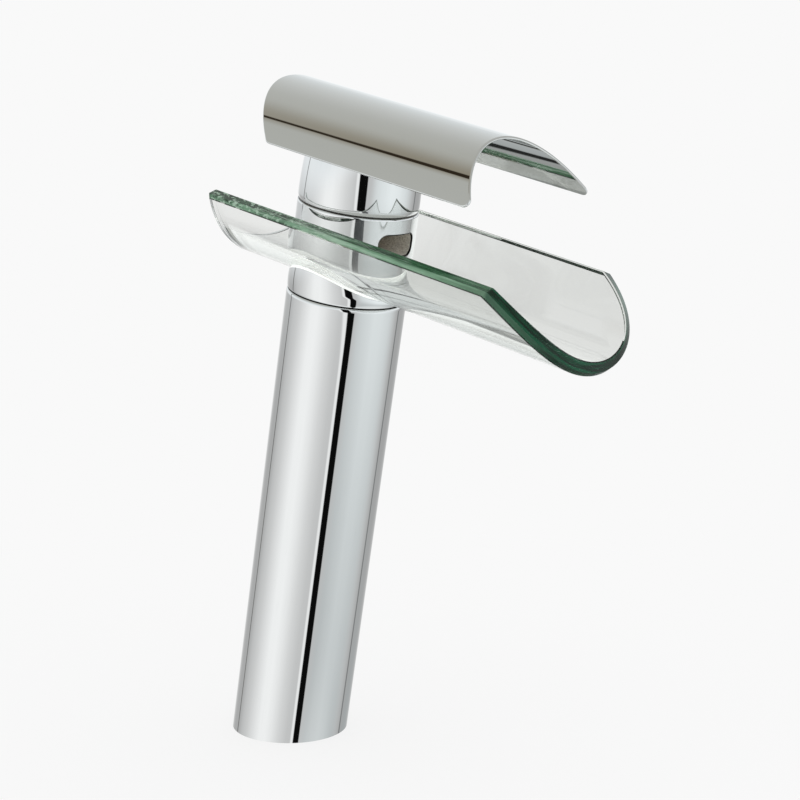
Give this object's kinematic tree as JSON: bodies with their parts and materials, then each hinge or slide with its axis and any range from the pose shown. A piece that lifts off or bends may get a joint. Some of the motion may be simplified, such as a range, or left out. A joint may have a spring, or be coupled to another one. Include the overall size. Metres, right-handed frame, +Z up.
{
  "type": "waterfall basin faucet",
  "caption": "Tall leaning chrome basin faucet with an open clear glass trough spout and a half-pipe lever that lifts and swings.",
  "frame": {"origin": "centre of the column's foot where the body axis meets the deck", "axes": "+X forward over the basin, the way the body leans and the water runs; +Y to the right of a user who stands in front of the basin and faces the faucet; +Z up from the deck"},
  "size_m": [0.1934, 0.0766, 0.2843],
  "materials": {
    "column_chrome": "polished chrome plate on brass",
    "collar_chrome": "polished chrome plate on brass",
    "housing_chrome": "polished chrome plate on brass, raw casting inside the outlet",
    "bonnet_chrome": "polished chrome plate on brass",
    "handle_chrome": "polished chrome plate on brass",
    "raw_brass": "machined",
    "black_rubber": "moulded",
    "clear_rubber": "translucent silicone",
    "clear_glass": "clear tempered glass with green ground edges",
    "white_plastic": "moulded acetal",
    "grey_plastic": "moulded acetal",
    "ceramic": "lapped alumina",
    "steel": "turned stainless",
    "chrome_plastic": "silver moulded cap"
  },
  "bodies": {
    "root": {"column": "column_chrome", "stud_bridge": "raw_brass", "base_gasket": "black_rubber", "glass_collar": "collar_chrome", "lower_glass_pad": "clear_rubber", "glass_spout": "clear_glass", "upper_glass_pad": "clear_rubber", "neck_sleeve": "white_plastic", "valve_housing": "housing_chrome", "neck_washer": "raw_brass", "neck_nut": "raw_brass", "cartridge_base": "white_plastic", "port_seals": "black_rubber", "disc_seals": "black_rubber", "fixed_disc": "ceramic", "cartridge_case": "white_plastic", "retaining_nut": "raw_brass", "bonnet_o_ring": "black_rubber", "bonnet": "bonnet_chrome"},
    "lever_guide": {"lever_guide": "grey_plastic", "lever_pin": "steel"},
    "lever": {"lever_stem": "steel", "handle_boss": "handle_chrome", "handle_plate": "handle_chrome", "grub_screw": "steel", "screw_plug": "chrome_plastic"},
    "mixing_disc": {"moving_disc": "ceramic", "disc_carrier": "grey_plastic"}
  },
  "joints": [
    {"name": "lever_swing", "type": "hinge", "parent": "root", "child": "lever_guide", "pos_m": [0.04574, 0, 0.2468], "axis": [0.1822, 0, 0.9833], "range_deg": [-45, 45]},
    {"name": "lever_lift", "type": "hinge", "parent": "lever_guide", "child": "lever", "pos_m": [0.04574, 0, 0.2468], "axis": [0, -1, 0], "range_deg": [0, 25]},
    {"name": "disc_slide", "type": "slide", "parent": "lever_guide", "child": "mixing_disc", "axis": [0.9833, 0, -0.1822], "range_m": [0, 0.003]}
  ],
  "couplings": [
    {"joint": "disc_slide", "follows": "lever_lift", "m_per_rad": 0.0067}
  ]
}
